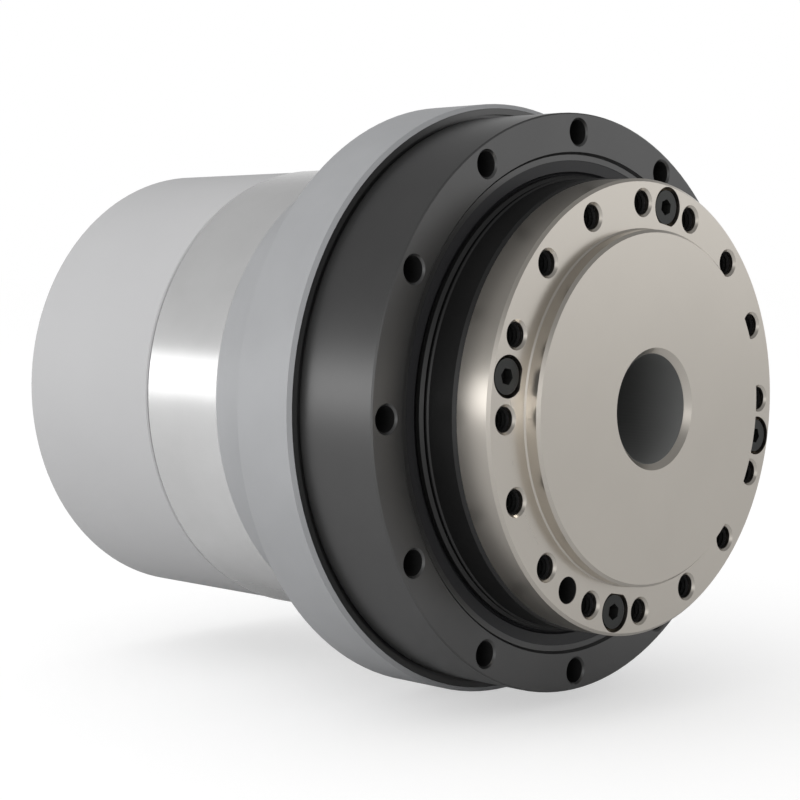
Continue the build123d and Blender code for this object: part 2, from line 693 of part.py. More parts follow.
with BuildPart() as rotor_magnets:
    with BuildSketch(facing(stack_x0 + 1.5)) as poles:
        Circle(magnet_r)
        Circle(rotor_r, mode=Mode.SUBTRACT)
        with PolarLocations(0, magnet_count, start_angle=180 / magnet_count):
            with Locations((magnet_r, 0)):
                Rectangle(2 * magnet_t + 2.0, magnet_space, mode=Mode.SUBTRACT)
    extrude(poles.sketch, amount=stack_len - 3.0)
rotor_magnets.part.label = "rotor_magnets"

# Motor end shield: carries the rear bearing and the brake, clamped by the cover's screws
with BuildPart() as end_shield:
    turned(
        (x_sleeve_rear, bell_r - 2 * wide_gap), (x_sleeve_rear, cover_inner_r - 0.2),
        (x_sleeve_rear - shield_rim_t, cover_inner_r - 0.2), (x_sleeve_rear - shield_rim_t, bell_r),
        (shield_rear, bell_r), (shield_rear, bearing_r - bearing_lip),
        (rear_bearing_x0, bearing_r - bearing_lip), (rear_bearing_x0, bearing_r),
        (rear_bearing_x1 - 1.0, bearing_r), (rear_bearing_x1 - 1.0, bearing_r + 2.4),
        (shield_rear + shield_t, bearing_r + 2.4), (shield_rear + shield_t, bell_r - 2 * wide_gap),
    )
    drilled(x_sleeve_rear, shield_rim_t, cover_screw_pcd, 4, 0, M3["clear"])
    drilled(shield_rear + shield_t, shield_t, brake_bolt_pcd, brake_bolt_count, 30, M3["tap"])
    drilled(shield_rear + shield_t, shield_t, brake_bolt_pcd - 6.0, 1, -90, 9.0)
end_shield.part.label = "end_shield"

# Holding brake: hub, disc and linings turn; the armature slides; springs push it, a coil pulls it
with BuildPart() as brake_hub:
    with BuildSketch(facing(disc_x0 - 0.6)) as hexagon:
        RegularPolygon(hub_half_af, 6, major_radius=False)
        Circle(shaft_r, mode=Mode.SUBTRACT)
    extrude(hexagon.sketch, amount=brake_disc_t + 0.8)
brake_hub.part.label = "brake_hub"

with BuildPart() as brake_disc:
    with BuildSketch(facing(disc_x0)) as disc:
        Circle(brake_disc_r)
        RegularPolygon(hub_half_af + 0.05, 6, major_radius=False, mode=Mode.SUBTRACT)
    extrude(disc.sketch, amount=brake_disc_t)
    for x0 in (disc_x0, disc_x1 - lining_t):
        sleeve(x0, x0 + lining_t, brake_disc_r - lining_width, brake_disc_r,
               mode=Mode.SUBTRACT)
brake_disc.part.label = "brake_disc"

with BuildPart() as brake_linings:
    for x0 in (disc_x0, disc_x1 - lining_t):
        sleeve(x0, x0 + lining_t, brake_disc_r - lining_width, brake_disc_r)
brake_linings.part.label = "brake_linings"

with BuildPart() as brake_armature:
    sleeve(armature_x0, armature_x1, brake_bore_r, brake_r)
    drilled(armature_x1, armature_t, brake_bolt_pcd, brake_bolt_count, 30,
            2 * (spacer_r + slide_fit))
brake_armature.part.label = "brake_armature"

with BuildPart() as brake_spacers:
    with BuildSketch(facing(brake_face)) as posts:
        with PolarLocations(brake_bolt_pcd / 2, brake_bolt_count, start_angle=30):
            Circle(spacer_r)
            Circle(M3["d"] / 2 + 0.1, mode=Mode.SUBTRACT)
    extrude(posts.sketch, amount=shield_rear - brake_face)
brake_spacers.part.label = "brake_spacers"

coil_in_r = brake_bore_r + brake_pole_t
coil_out_r = brake_disc_r - 2 * wide_gap
spring_r = brake_bore_r + spring_width
with BuildPart() as brake_magnet:
    sleeve(brake_rear, brake_face, brake_bore_r, brake_r)
    sleeve(brake_face - brake_coil_depth, brake_face, coil_in_r, coil_out_r, mode=Mode.SUBTRACT)
    sleeve(brake_face - 1.6, brake_face, brake_bore_r, spring_r, mode=Mode.SUBTRACT)
    drilled(brake_face, brake_magnet_t, brake_bolt_pcd, brake_bolt_count, 30, M3["clear"])
    drilled(brake_rear + 3.4, 3.4, brake_bolt_pcd, brake_bolt_count, 30,
            M3["head"] + 2 * head_clear - 0.3)
    drilled(brake_rear + 5.0, 5.0, brake_bolt_pcd, brake_bolt_count, 90, M3["tap"])
brake_magnet.part.label = "brake_magnet"

with BuildPart() as brake_coil:
    sleeve(brake_face - brake_coil_depth, brake_face - 0.4, coil_in_r, coil_out_r)
brake_coil.part.label = "brake_coil"

with BuildPart() as brake_spring:
    turned(
        (brake_face - 1.6, spring_r), (brake_face - 1.6, spring_r - 0.8),
        (brake_face - 0.5, brake_bore_r + 0.1), (brake_face - 0.1, brake_bore_r + 0.1),
        (brake_face - 1.0, spring_r),
    )
brake_spring.part.label = "brake_spring"

with BuildPart() as brake_bolts:
    cap_screws(M3, brake_rear + 3.4, brake_magnet_t - 3.4 + shield_rear - brake_face + shield_t,
               brake_bolt_pcd, brake_bolt_count, 30, towards=1)
brake_bolts.part.label = "brake_bolts"

# Encoders: a disc on the motor shaft, a disc on the hollow tube, one board between them
with BuildPart() as motor_encoder_disc:
    sleeve(motor_disc_x0, motor_disc_x1, shaft_r, shaft_r + encoder_hub_wall)
    sleeve(motor_disc_x0 + 0.4, motor_disc_x0 + 0.4 + encoder_disc_t, shaft_r + encoder_hub_wall,
           encoder_disc_r)
motor_encoder_disc.part.label = "motor_encoder_disc"

with BuildPart() as board_standoffs:
    with BuildSketch(facing(board_x1)) as posts:
        with PolarLocations(brake_bolt_pcd / 2, brake_bolt_count, start_angle=90):
            RegularPolygon(2.6, 6, major_radius=False)
            Circle(M3["clear"] / 2, mode=Mode.SUBTRACT)
    extrude(posts.sketch, amount=standoff_len)
board_standoffs.part.label = "board_standoffs"

board_bore_r = tube_r + 4.0
with BuildPart() as encoder_board:
    sleeve(board_x0, board_x1, board_bore_r, board_r)
    drilled(board_x1, board_t, brake_bolt_pcd, brake_bolt_count, 90, M3["clear"])
encoder_board.part.label = "encoder_board"

with BuildPart() as board_screws:
    cap_screws(dict(M3, high=1.8), board_x0, board_t + standoff_len + 4.0, brake_bolt_pcd,
               brake_bolt_count, 90, towards=1)
board_screws.part.label = "board_screws"

with BuildPart() as output_encoder_disc:
    sleeve(output_disc_x0, output_disc_x1, tube_r, tube_r + encoder_hub_wall)
    sleeve(output_disc_x0 + 0.6, output_disc_x0 + 0.6 + encoder_disc_t, tube_r + encoder_hub_wall,
           encoder_disc_r)
output_encoder_disc.part.label = "output_encoder_disc"

reader_r = encoder_disc_r - 4.0
front_head_t = motor_disc_x0 + 0.4 - 0.7 - board_x1
rear_head_t = board_x0 - (output_disc_x0 + 0.6 + encoder_disc_t) - 0.6
with BuildPart() as encoder_readers:
    with Locations((board_x1 + front_head_t / 2, 0, reader_r)):
        Box(front_head_t, 12.0, 7.0)
    with Locations((board_x0 - rear_head_t / 2, 0, -reader_r)):
        Box(rear_head_t, 12.0, 7.0)
encoder_readers.part.label = "encoder_readers"

with BuildPart() as board_parts:
    for angle, wide, high, thick in ((-90, 14.0, 6.0, 4.0), (-50, 8.0, 5.0, 1.2), (-20, 5.0, 5.0, 1.5),
                                     (40, 9.0, 5.0, 1.2), (140, 6.0, 5.0, 1.5), (180, 9.0, 6.0, 2.4)):
        y, z = on_pitch(2 * board_r - 9.0 - high, angle)
        with Locations(Location((board_x0 - thick / 2, y, z), (angle, 0, 0))):
            Box(thick, wide, high)
board_parts.part.label = "board_parts"

# Rear cover: a thin shell with four screw posts, a pad for the connectors and the rear bore
post_front = x_sleeve_rear - shield_rim_t
pad_x = (x_cover_front + x_cover_rear) / 2 + 2.0
pad_y = cover_r + free_gap
pad_len = connector_pitch + connector_flange + 2.0
flange_screw = connector_flange / 2 - 3.0
receptacle_screw_r = 1.0
with BuildPart() as rear_cover:
    with BuildSketch(Plane.XZ) as shell:
        with BuildLine():
            Polyline(
                (x_cover_front, 0), (x_cover_front, cover_r - 0.3),
                (x_cover_front - 0.3, cover_r), (x_cover_rear, cover_r),
                (x_cover_rear, 0), close=True,
            )
        make_face()
        fillet(shell.vertices().sort_by_distance((x_cover_rear, 0, cover_r))[0], cover_corner_r)
    revolve(shell.sketch, axis=Axis.X)
    with BuildSketch(Plane.XZ.offset(-pad_y)) as pad:
        with Locations((pad_x, 0)):
            RectangleRounded(connector_flange + 3.0, pad_len, 3.0)
    extrude(pad.sketch, amount=pad_y)
    sleeve(x_cover_rear + cover_end_t, x_cover_front, 0, cover_inner_r, mode=Mode.SUBTRACT)
    sleeve(x_cover_rear, x_cover_front, 0, tube_r + running, mode=Mode.SUBTRACT)
    with BuildSketch(facing(x_cover_rear + cover_end_t)) as posts:
        with PolarLocations(cover_screw_pcd / 2, 4):
            Circle(post_r)
        Circle(cover_inner_r + 0.5, mode=Mode.INTERSECT)
    extrude(posts.sketch, amount=post_front - x_cover_rear - cover_end_t)
    drilled(post_front, cover_len, cover_screw_pcd, 4, 0, M3["clear"])
    drilled(x_cover_rear + M3["high"] + head_sink, M3["high"] + head_sink, cover_screw_pcd, 4, 0,
            M3["head"] + 0.5)
    with BuildSketch(Plane.XZ.offset(-pad_y)) as outlets:
        with Locations((pad_x, connector_pitch / 2), (pad_x, -connector_pitch / 2)):
            Circle(connector_d / 2 - 2.0)
    extrude(outlets.sketch, amount=pad_y / 2, mode=Mode.SUBTRACT)
    with BuildSketch(Plane.XZ.offset(-pad_y)) as taps:
        with Locations((pad_x, connector_pitch / 2), (pad_x, -connector_pitch / 2)):
            with GridLocations(2 * flange_screw, 2 * flange_screw, 2, 2):
                Circle(receptacle_screw_r)
    extrude(taps.sketch, amount=2.6, mode=Mode.SUBTRACT)
rear_cover.part.label = "rear_cover"

with BuildPart() as cover_gasket:
    sleeve(x_cover_front, x_sleeve_rear, cover_inner_r + 0.3, cover_r - 0.6)
cover_gasket.part.label = "cover_gasket"

with BuildPart() as cover_screws:
    cap_screws(M3, x_cover_rear + M3["high"] + head_sink,
               x_sleeve_rear - x_cover_rear - M3["high"] - head_sink + 7.0,
               cover_screw_pcd, 4, 0, towards=1)
cover_screws.part.label = "cover_screws"

# Connectors: two round receptacles on the pad, away from the front
outward = Plane(origin=(pad_x, pad_y, 0), x_dir=(1, 0, 0), z_dir=(0, 1, 0))
connector_places = ((0, connector_pitch / 2), (0, -connector_pitch / 2))
with BuildPart() as receptacles:
    with BuildSketch(outward) as flanges:
        with Locations(*connector_places):
            RectangleRounded(connector_flange, connector_flange, 3.0)
    extrude(flanges.sketch, amount=connector_flange_t)
    with BuildSketch(outward) as barrels:
        with Locations(*connector_places):
            Circle(connector_d / 2)
    extrude(barrels.sketch, amount=connector_len)
    with BuildSketch(outward.offset(connector_len)) as sockets:
        with Locations(*connector_places):
            Circle(connector_d / 2 - connector_wall)
    extrude(sockets.sketch, amount=-connector_len, mode=Mode.SUBTRACT)
    with BuildSketch(outward) as holes:
        with Locations(*connector_places):
            with GridLocations(2 * flange_screw, 2 * flange_screw, 2, 2):
                Circle(receptacle_screw_r + 0.2)
    extrude(holes.sketch, amount=connector_flange_t, mode=Mode.SUBTRACT)
receptacles.part.label = "receptacles"

with BuildPart() as receptacle_inserts:
    with BuildSketch(outward.offset(-2.0)) as inserts:
        with Locations((0, connector_pitch / 2), (0, -connector_pitch / 2)):
            Circle(connector_d / 2 - 2.2)
    extrude(inserts.sketch, amount=6.0)
    with BuildSketch(outward) as rims:
        with Locations(*connector_places):
            Circle(connector_d / 2 - connector_wall)
            Circle(connector_d / 2 - 2.3, mode=Mode.SUBTRACT)
    extrude(rims.sketch, amount=2.0)
receptacle_inserts.part.label = "receptacle_inserts"

with BuildPart() as receptacle_pins:
    with BuildSketch(outward.offset(4.0)) as pins:
        with Locations(connector_places[0]):
            with PolarLocations(3.4, 5):
                Circle(0.75)
        with Locations(connector_places[1]):
            with PolarLocations(4.2, 9):
                Circle(0.5)
            Circle(0.5)
    extrude(pins.sketch, amount=5.0)
receptacle_pins.part.label = "receptacle_pins"

with BuildPart() as receptacle_screws:
    with BuildSketch(outward.offset(connector_flange_t)) as heads:
        with Locations(*connector_places):
            with GridLocations(2 * flange_screw, 2 * flange_screw, 2, 2):
                Circle(1.9 * receptacle_screw_r)
    extrude(heads.sketch, amount=1.4)
    with BuildSketch(outward.offset(connector_flange_t)) as shanks:
        with Locations(*connector_places):
            with GridLocations(2 * flange_screw, 2 * flange_screw, 2, 2):
                Circle(receptacle_screw_r)
    extrude(shanks.sketch, amount=-5.0)
receptacle_screws.part.label = "receptacle_screws"

pieces = [
    output_flange, output_screws, circular_spline, bearing_inner_ring, spline_screws,
    bearing_outer_ring, crossed_rollers, seal_case, output_seal, flexspline, wave_outer_race,
    wave_inner_race, wave_balls, wave_plug, plug_screws, motor_shaft, hollow_tube, gear_housing,
    clamp_screws, shaft_seal, bearing_inner_races, bearing_outer_races, bearing_balls,
    stator_sleeve, sleeve_screws, stator_core, stator_coils, rotor_core, rotor_magnets,
    end_shield, brake_hub, brake_disc, brake_linings, brake_armature, brake_spacers,
    brake_magnet, brake_coil, brake_spring, brake_bolts, motor_encoder_disc, board_standoffs,
    encoder_board, board_screws, output_encoder_disc, encoder_readers, board_parts, rear_cover,
    cover_gasket, cover_screws, receptacles, receptacle_inserts, receptacle_pins,
    receptacle_screws,
]
for piece in pieces:
    export_step(piece.part, f"parts/{piece.part.label}.step")
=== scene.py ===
"""Dresses the hollow-shaft rotary actuator: finishes, small fittings and the stage."""

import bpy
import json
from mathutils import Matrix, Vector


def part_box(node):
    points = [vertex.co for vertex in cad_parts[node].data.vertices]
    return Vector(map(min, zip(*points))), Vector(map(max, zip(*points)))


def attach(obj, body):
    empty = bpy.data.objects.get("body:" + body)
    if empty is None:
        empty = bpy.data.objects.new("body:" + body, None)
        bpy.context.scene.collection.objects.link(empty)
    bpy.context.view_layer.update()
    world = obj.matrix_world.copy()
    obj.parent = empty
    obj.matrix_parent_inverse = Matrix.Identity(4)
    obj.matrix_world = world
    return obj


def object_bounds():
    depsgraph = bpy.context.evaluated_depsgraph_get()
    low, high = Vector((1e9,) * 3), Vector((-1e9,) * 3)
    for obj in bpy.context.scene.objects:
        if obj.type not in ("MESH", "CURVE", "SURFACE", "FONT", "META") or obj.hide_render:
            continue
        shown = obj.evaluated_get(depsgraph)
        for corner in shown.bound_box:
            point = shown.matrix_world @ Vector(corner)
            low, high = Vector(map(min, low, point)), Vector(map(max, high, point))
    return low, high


bl_info = {
    "name": "Hollow-shaft rotary actuator",
    "version": (1, 0, 0),
    "blender": (4, 5, 0),
    "location": "3D View > Sidebar > Actuator",
    "description": "Finishes, threads, hole linings and stage for a hollow-shaft rotary actuator",
    "category": "Object",
}

import json
import math

import bmesh
import bpy
from bpy.props import FloatProperty, FloatVectorProperty, IntProperty, PointerProperty
from bpy.types import Operator, Panel, PropertyGroup
from mathutils import Vector

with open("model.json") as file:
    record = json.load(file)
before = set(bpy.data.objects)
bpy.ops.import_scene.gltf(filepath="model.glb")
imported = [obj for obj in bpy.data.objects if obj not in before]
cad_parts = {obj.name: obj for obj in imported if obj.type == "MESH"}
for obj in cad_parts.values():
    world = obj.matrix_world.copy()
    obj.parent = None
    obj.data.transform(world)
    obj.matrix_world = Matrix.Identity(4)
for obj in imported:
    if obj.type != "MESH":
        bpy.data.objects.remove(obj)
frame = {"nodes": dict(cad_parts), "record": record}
cad_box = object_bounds()

MM = 0.001

# Patterns of the finishes, on object coordinates in metres
CLOUD_SCALE = 45.0
PATCH_SCALE = 35.0
TINT_STOPS = (0.3, 0.7)
LATHE_RELIEF = 0.05 * MM
GRAIN_RELIEF = 0.04 * MM
GLOSS_DRIFT = 0.06

# Sleeves of painted shade in the holes, the bore's lining and threads
LINING_GAP = 0.01 * MM
LINING_WALL = 0.05 * MM
LINING_STEPS = 48
TUBE_LINING_GAP = 0.005 * MM
TUBE_LINING_WALL = 0.075 * MM
TUBE_LINING_STEPS = 96
MERGE_GAP = 0.0002 * MM
THREAD_GAP = 0.02 * MM
THREAD_STEPS = 24

# Camera: where it stands, where it looks and what lies at its right
CAMERA_SPOT = (0.2645, -0.3215, 0.0299)
CAMERA_FORWARD = (-0.7005, 0.7103, -0.0699)
CAMERA_RIGHT = (0.7103, 0.7005, 0.0)
SENSOR_WIDTH = 36.0
CLIP_START = 0.01

# Lamps: name, size, place and the point that they face
KEY_LAMP = ("key_lamp", (0.8, 0.8), (-0.05, -0.6, 0.85), (-0.03, 0, 0))
FILL_LAMP = ("fill_lamp", (1.0, 0.11), (0.2, -1.2, 0.0), (-0.07, 0, -0.02))
STRIP_LAMP = ("strip_lamp", (1.1, 0.3), (-1.0, -0.84, 0.1), (-0.05, 0, 0))

# Studio: how far left and right the wall and the light fade, how high the ceiling starts
WALL_SPAN = (-0.9, 0.5)
LIGHT_SPAN = (-0.9, 0.9)
CEILING_SPAN = (0.1, 0.6)
WHITE = (1, 1, 1, 1)
FLOOR_HALF = 8.0
FLOOR_GAP = 0.5 * MM
FLOOR_ROUGHNESS = 0.9


def srgb(red, green, blue):
    """A colour picked on a 0 to 255 scale, as the linear values that shaders take."""
    def channel(value):
        value /= 255
        return value / 12.92 if value <= 0.04045 else ((value + 0.055) / 1.055) ** 2.4
    return (channel(red), channel(green), channel(blue))


def colour(name, description, red, green, blue):
    return FloatVectorProperty(name=name, description=description, subtype="COLOR", size=3,
                               min=0.0, max=1.0, default=srgb(red, green, blue))


def length(name, description, millimetres):
    return FloatProperty(name=name, description=description, subtype="DISTANCE", unit="LENGTH",
                         precision=5, default=millimetres * MM)


class FinishSettings(PropertyGroup):
    """Colours of the finishes."""
    nickel: colour("Nickel plate", "Satin nickel of the output flange", 214, 208, 199)
    bearing_black: colour("Bearing black", "Dark oxide of the bearing rings", 98, 98, 98)
    grey_anodised: colour("Grey anodised", "Anodised gear housing", 160, 161, 163)
    bright_aluminium: colour("Bright aluminium", "Turned stator sleeve", 216, 216, 216)
    cover_grey: colour("Cover grey", "Matte rear cover", 180, 180, 181)
    black_screw: colour("Black screw", "Black oxide of the cap screws", 60, 61, 60)


class FlangeSettings(PropertyGroup):
    """The output flange's tapped holes and the bore."""
    tapped_count: IntProperty(name="Tapped holes", default=16, min=4,
                              description="Tapped holes on the flange's bolt circle")
    face: length("Flange face", "Station of the flange's face", 17.0)
    pitch_radius: length("Bolt circle radius", "Radius of the flange's bolt circle", 42.0)
    hole_radius: length("Tapped hole radius", "Core radius of the tapped holes", 2.5)
    thread_pitch: length("Thread pitch", "Pitch of the tapped holes' thread", 1.0)
    thread_height: length("Thread height", "Height of the thread's crest over the wall", 0.35)
    thread_start: length("Thread start", "Depth of the thread's start under the face", 0.6)
    thread_turns: IntProperty(name="Thread turns", default=7, min=1,
                              description="Turns of thread in each tapped hole")
    bore_radius: length("Bore radius", "Radius of the hollow bore", 11.35)
    lining_front: length("Lining's front", "Station where the tube's lining starts", 19.25)


class HoleSettings(PropertyGroup):
    """The housing's bolt holes and the flange's dowel hole."""
    bolt_count: IntProperty(name="Bolt holes", default=12, min=4,
                            description="Bolt holes in the bearing's outer ring")
    bolt_circle: length("Bolt circle radius", "Radius of the housing's bolt circle", 57.0)
    bolt_radius: length("Bolt hole radius", "Radius of the housing's bolt holes", 2.65)
    bolt_front: length("Bolt hole front", "Station under the holes' chamfer", -0.45)
    bolt_rear: length("Bolt hole rear", "Station at the ring's rear", -21.4)
    dowel_radius: length("Dowel hole radius", "Radius of the dowel hole", 2.75)
    dowel_angle: FloatProperty(name="Dowel hole angle", default=146.25,
                               description="Degrees from the top to the dowel hole")
    dowel_front: length("Dowel hole front", "Station just under the flange's face", 16.8)
    dowel_floor: length("Dowel hole floor", "Station of the dowel hole's floor", 10.5)


class StageSettings(PropertyGroup):
    """Camera, lamps, studio walls and floor."""
    lens: FloatProperty(name="Lens", default=88.6,
                        description="Camera's focal length in millimetres")
    key_power: FloatProperty(name="Key lamp", default=0.9, unit="POWER",
                             description="Power of the large lamp above")
    strip_power: FloatProperty(name="Strip lamp", default=1.85, unit="POWER",
                               description="Power of the long low lamp at the left")
    fill_power: FloatProperty(name="Fill lamp", default=4.6, unit="POWER",
                              description="Power of the low lamp in front")
    left_level: FloatProperty(name="Light from the left", default=1.1,
                              description="Strength of the surrounding light at the left")
    right_level: FloatProperty(name="Light from the right", default=0.6,
                               description="Strength of the surrounding light at the right")
    left_wall: FloatProperty(name="Left wall", default=0.5, subtype="FACTOR",
                             description="Share of white that metal shows of the left wall")
    ceiling: FloatProperty(name="Ceiling", default=0.25, subtype="FACTOR",
                           description="Share of white that metal shows of the ceiling")
    floor_shade: FloatProperty(name="Floor", default=0.55, subtype="FACTOR",
                               description="Shade of the floor")
    floor_lift: FloatProperty(name="Floor lift", default=0.53, subtype="FACTOR",
                              description="Brightness added to the floor in view")
    floor_gloss_lift: FloatProperty(name="Floor lift in metal", default=0.04, subtype="FACTOR",
                                    description="Brightness added to the floor that metal shows")


class ActuatorSettings(PropertyGroup):
    """All that a user of the model may change."""
    finish: PointerProperty(type=FinishSettings)
    flange: PointerProperty(type=FlangeSettings)
    holes: PointerProperty(type=HoleSettings)
    stage: PointerProperty(type=StageSettings)


# Shaders


def add(tree, kind, settings=None, **sockets):
    """Adds a shader node, sets its own settings, then the values of its sockets by name."""
    made = tree.nodes.new("ShaderNode" + kind)
    for name, value in (settings or {}).items():
        setattr(made, name, value)
    for name, value in sockets.items():
        made.inputs[name.replace("_", " ")].default_value = value
    return made


def blank(name):
    """A material with only its output and its Principled shader."""
    material = bpy.data.materials.new(name)
    material.use_nodes = True
    tree = material.node_tree
    tree.nodes.clear()
    shader = tree.nodes.new("ShaderNodeBsdfPrincipled")
    output = tree.nodes.new("ShaderNodeOutputMaterial")
    tree.links.new(shader.outputs["BSDF"], output.inputs["Surface"])
    return material, tree, shader


def lathe_coordinates(tree):
    """Object coordinates turned into (station along the axis, radius, 0), so patterns run round."""
    place = add(tree, "TexCoord")
    parts = add(tree, "SeparateXYZ")
    tree.links.new(place.outputs["Object"], parts.inputs[0])
    flat = add(tree, "CombineXYZ")
    tree.links.new(parts.outputs["Y"], flat.inputs["Y"])
    tree.links.new(parts.outputs["Z"], flat.inputs["Z"])
    radius = add(tree, "VectorMath", {"operation": "LENGTH"})
    tree.links.new(flat.outputs[0], radius.inputs[0])
    turned = add(tree, "CombineXYZ")
    tree.links.new(parts.outputs["X"], turned.inputs["X"])
    tree.links.new(radius.outputs["Value"], turned.inputs["Y"])
    return place, turned


def ramp(tree, source, *stops):
    """A colour ramp over a grey value; each stop is (position, colour)."""
    made = tree.nodes.new("ShaderNodeValToRGB")
    points = made.color_ramp.elements
    while len(points) < len(stops):
        points.new(0.5)
    for point, (position, shade) in zip(points, stops):
        point.position = position
        point.color = (*shade, 1.0)
    tree.links.new(source, made.inputs["Fac"])
    return made.outputs["Color"]


def drifting(tree, source, shade, spread):
    """The shade, a little darker and lighter where the source's grey value falls and rises."""
    low, high = (tuple(min(1.0, channel * factor) for channel in shade)
                 for factor in (1 - spread, 1 + spread))
    return ramp(tree, source, (TINT_STOPS[0], low), (TINT_STOPS[1], high))


def shiny_rays(tree):
    """A Light Path node, and a value that is 1 for glossy and transmission rays."""
    path = add(tree, "LightPath")
    shiny = add(tree, "Math", {"operation": "MAXIMUM"})
    tree.links.new(path.outputs["Is Glossy Ray"], shiny.inputs[0])
    tree.links.new(path.outputs["Is Transmission Ray"], shiny.inputs[1])
    return path, shiny.outputs[0]


def turned_metal(name, shade, roughness, lines=2500.0, depth=0.12, spread=0.05, metallic=1.0,
                 drift=GLOSS_DRIFT):
    """Metal off the lathe: fine rings, cloudy gloss and a slight drift of colour."""
    material, tree, shader = blank(name)
    place, turned = lathe_coordinates(tree)
    rings = add(tree, "TexNoise", {"noise_dimensions": "2D"}, Scale=lines, Detail=3.0,
                Roughness=0.6)
    tree.links.new(turned.outputs[0], rings.inputs["Vector"])
    cloud = add(tree, "TexNoise", Scale=CLOUD_SCALE, Detail=5.0, Roughness=0.55)
    tree.links.new(place.outputs["Object"], cloud.inputs["Vector"])
    tree.links.new(drifting(tree, cloud.outputs["Fac"], shade, spread), shader.inputs["Base Color"])
    gloss = add(tree, "MapRange", To_Min=roughness - drift, To_Max=roughness + drift)
    mixed = add(tree, "Math", {"operation": "ADD"})
    tree.links.new(rings.outputs["Fac"], mixed.inputs[0])
    tree.links.new(cloud.outputs["Fac"], mixed.inputs[1])
    half = add(tree, "Math", {"operation": "MULTIPLY"})
    half.inputs[1].default_value = 0.5
    tree.links.new(mixed.outputs[0], half.inputs[0])
    tree.links.new(half.outputs[0], gloss.inputs["Value"])
    tree.links.new(gloss.outputs["Result"], shader.inputs["Roughness"])
    bump = add(tree, "Bump", Strength=depth, Distance=LATHE_RELIEF)
    tree.links.new(rings.outputs["Fac"], bump.inputs["Height"])
    tree.links.new(bump.outputs["Normal"], shader.inputs["Normal"])
    shader.inputs["Metallic"].default_value = metallic
    return material


def grained(name, shade, roughness, grain=4000.0, depth=0.15, spread=0.06, metallic=0.0,
            coat=0.0):
    """Blasted, painted, moulded or rubber surface: a fine even grain, a slight drift of colour."""
    material, tree, shader = blank(name)
    place = add(tree, "TexCoord")
    grit = add(tree, "TexNoise", Scale=grain, Detail=2.0, Roughness=0.6)
    cloud = add(tree, "TexNoise", Scale=PATCH_SCALE, Detail=4.0, Roughness=0.5)
    for texture in (grit, cloud):
        tree.links.new(place.outputs["Object"], texture.inputs["Vector"])
    tree.links.new(drifting(tree, cloud.outputs["Fac"], shade, spread), shader.inputs["Base Color"])
    gloss = add(tree, "MapRange", To_Min=roughness - GLOSS_DRIFT, To_Max=roughness + GLOSS_DRIFT)
    tree.links.new(grit.outputs["Fac"], gloss.inputs["Value"])
    tree.links.new(gloss.outputs["Result"], shader.inputs["Roughness"])
    bump = add(tree, "Bump", Strength=depth, Distance=GRAIN_RELIEF)
    tree.links.new(grit.outputs["Fac"], bump.inputs["Height"])
    tree.links.new(bump.outputs["Normal"], shader.inputs["Normal"])
    shader.inputs["Metallic"].default_value = metallic
    shader.inputs["Coat Weight"].default_value = coat
    return material


# How each finish is made: its kind, its colour or that colour's setting, its roughness, the rest
FINISHES = {
    "nickel_plate": (turned_metal, "nickel", 0.28,
                     dict(lines=1800.0, depth=0.008, spread=0.015, drift=0.015)),
    "bearing_black": (turned_metal, "bearing_black", 0.33,
                      dict(lines=2200.0, depth=0.05, metallic=0.88, drift=0.03)),
    # Near-black that paints the shade of the deep holes and their threads
    "painted_shade_black": (grained, srgb(5, 5, 5), 0.8, {}),
    # A darker black than the bearing's: painted shade of the spline in its recess
    "spline_painted_shade": (turned_metal, srgb(62, 62, 62), 0.34,
                     dict(lines=2200.0, depth=0.1, metallic=0.9)),
    "seal_rubber": (grained, srgb(38, 38, 40), 0.5, {}),
    "grey_anodised": (turned_metal, "grey_anodised", 0.5,
                      dict(lines=1500.0, depth=0.08, metallic=0.15)),
    "bright_aluminium": (turned_metal, "bright_aluminium", 0.22,
                         dict(lines=2600.0, depth=0.04, metallic=0.6)),
    "cover_grey": (grained, "cover_grey", 0.62, dict(spread=0.015)),
    "black_screw": (grained, "black_screw", 0.32, dict(metallic=0.7)),
    "tube_grey": (turned_metal, srgb(110, 111, 110), 0.9, dict(metallic=0.0)),
    "plain_steel": (turned_metal, srgb(168, 168, 168), 0.3, {}),
    "lamination": (turned_metal, srgb(98, 98, 102), 0.45, dict(lines=2000.0, depth=0.5)),
    "magnet": (grained, srgb(120, 120, 124), 0.3, dict(metallic=0.9)),
    "copper": (grained, srgb(168, 92, 48), 0.3, dict(metallic=0.8, coat=0.5)),
    "lining": (grained, srgb(70, 60, 52), 0.85, dict(depth=0.6)),
    "brass": (turned_metal, srgb(196, 160, 92), 0.3, {}),
    "encoder_glass": (grained, srgb(140, 150, 152), 0.12, dict(coat=0.6)),
    "board_green": (grained, srgb(22, 84, 48), 0.35, dict(coat=0.4)),
    "black_plastic": (grained, srgb(26, 26, 27), 0.45, {}),
    "gold": (turned_metal, srgb(212, 176, 96), 0.2, {}),
    "connector_nickel": (turned_metal, srgb(176, 174, 168), 0.25, {}),
    "zinc": (turned_metal, srgb(168, 172, 176), 0.35, {}),
}

# Nodes that wear a darker copy of their slot's finish, as painted shade
PAINTED_SHADE_LOOKS = {"circular_spline": "spline_painted_shade"}

made_finishes = {}


def finish(name):
    """The material of a finish, made once."""
    if name not in made_finishes:
        maker, shade, roughness, options = FINISHES[name]
        if isinstance(shade, str):
            shade = getattr(bpy.context.scene.actuator.finish, shade)
        made_finishes[name] = maker(name, shade, roughness, **options)
    return made_finishes[name]


# Pieces


def dress(*nodes):
    """Puts the finish of each node's slot, or its darker copy of painted shade, on the node's
    material slots.
    """
    slots = {part["node"]: part["material_slot"] for part in frame["record"]["subparts"]}
    for name in nodes:
        if name not in frame["nodes"]:
            raise RuntimeError("no node named " + name)
        piece = frame["nodes"][name]
        if not piece.material_slots:
            piece.data.materials.append(None)
        for held in piece.material_slots:
            held.material = finish(PAINTED_SHADE_LOOKS.get(name, slots[name]))


